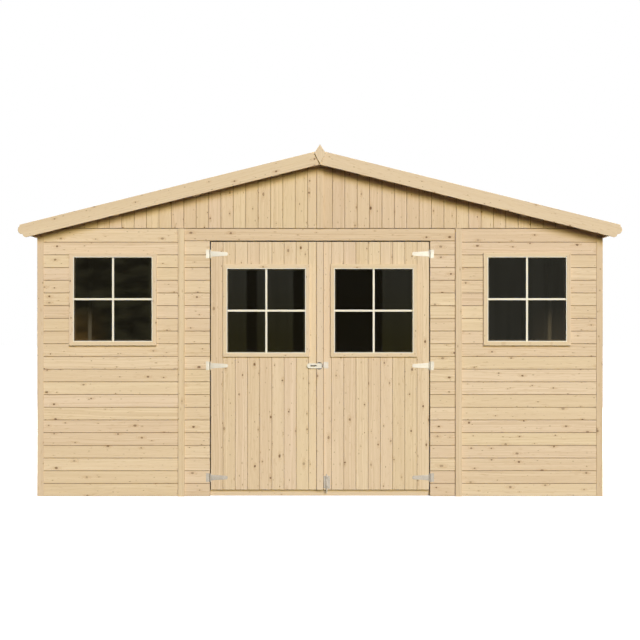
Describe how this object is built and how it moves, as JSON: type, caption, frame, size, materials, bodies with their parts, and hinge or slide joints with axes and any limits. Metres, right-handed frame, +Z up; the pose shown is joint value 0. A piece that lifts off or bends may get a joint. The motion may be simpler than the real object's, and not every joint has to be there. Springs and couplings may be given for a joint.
{
  "type": "wooden garden shed",
  "caption": "Low gabled garden shed of pale tongue-and-groove boards with glazed double doors and windows in the gable end.",
  "frame": {"origin": "on the ground, in the middle of the shed's plan, under the ridge", "axes": "+Z up; -Y out of the door end; +X to the right as seen from in front of the doors"},
  "size_m": [4.2022, 2.504, 2.4619],
  "materials": {
    "pine_boards": "untreated planed softwood",
    "pine_trim": "untreated planed softwood",
    "pine_battens": "sawn softwood",
    "glass": "clear pane",
    "zinc_steel": "zinc-plated",
    "roofing_felt": "mineral-faced bitumen felt"
  },
  "bodies": {
    "shed": {"floor_bearers": "pine_battens", "floor_deck": "pine_boards", "door_sill": "pine_trim", "front_panel_left": "pine_boards", "front_panel_right": "pine_boards", "front_infills": "pine_boards", "door_header": "pine_boards", "front_frames": "pine_battens", "door_frame": "pine_battens", "side_wall_left": "pine_boards", "side_wall_right": "pine_boards", "side_frames": "pine_battens", "back_wall": "pine_boards", "back_frame": "pine_battens", "gable_front": "pine_boards", "gable_back": "pine_boards", "gable_frames": "pine_battens", "corner_strips": "pine_trim", "cover_strips": "pine_trim", "gable_strips": "pine_trim", "window_frame_left": "pine_trim", "window_frame_right": "pine_trim", "window_glass": "glass", "roof_deck_left": "pine_boards", "roof_deck_right": "pine_boards", "roof_felt": "roofing_felt", "purlins": "pine_battens", "eaves_plates": "pine_battens", "eaves_fascias": "pine_trim", "bargeboards_front": "pine_trim", "bargeboards_back": "pine_trim", "finials": "pine_trim", "hinge_plates": "zinc_steel"},
    "left_door": {"left_door_boards": "pine_boards", "left_door_frame": "pine_battens", "left_door_window": "pine_trim", "left_door_glass": "glass", "left_door_straps": "zinc_steel", "meeting_strip": "pine_trim", "hasp": "zinc_steel"},
    "right_door": {"right_door_boards": "pine_boards", "right_door_frame": "pine_battens", "right_door_window": "pine_trim", "right_door_glass": "glass", "right_door_straps": "zinc_steel", "hasp_keeper": "zinc_steel", "bolt_plate": "zinc_steel"},
    "floor_bolt": {"bolt_rod": "zinc_steel"}
  },
  "joints": [
    {"name": "left_door_hinge", "type": "hinge", "parent": "shed", "child": "left_door", "pos_m": [-0.77225, -1.1055, 0.9], "axis": [0, 0, -1], "range_deg": [0, 160]},
    {"name": "right_door_hinge", "type": "hinge", "parent": "shed", "child": "right_door", "pos_m": [0.77225, -1.1055, 0.9], "axis": [0, 0, 1], "range_deg": [0, 160]},
    {"name": "floor_bolt_slide", "type": "slide", "parent": "right_door", "child": "floor_bolt", "axis": [0, 0, 1], "range_m": [0, 0.03]}
  ]
}
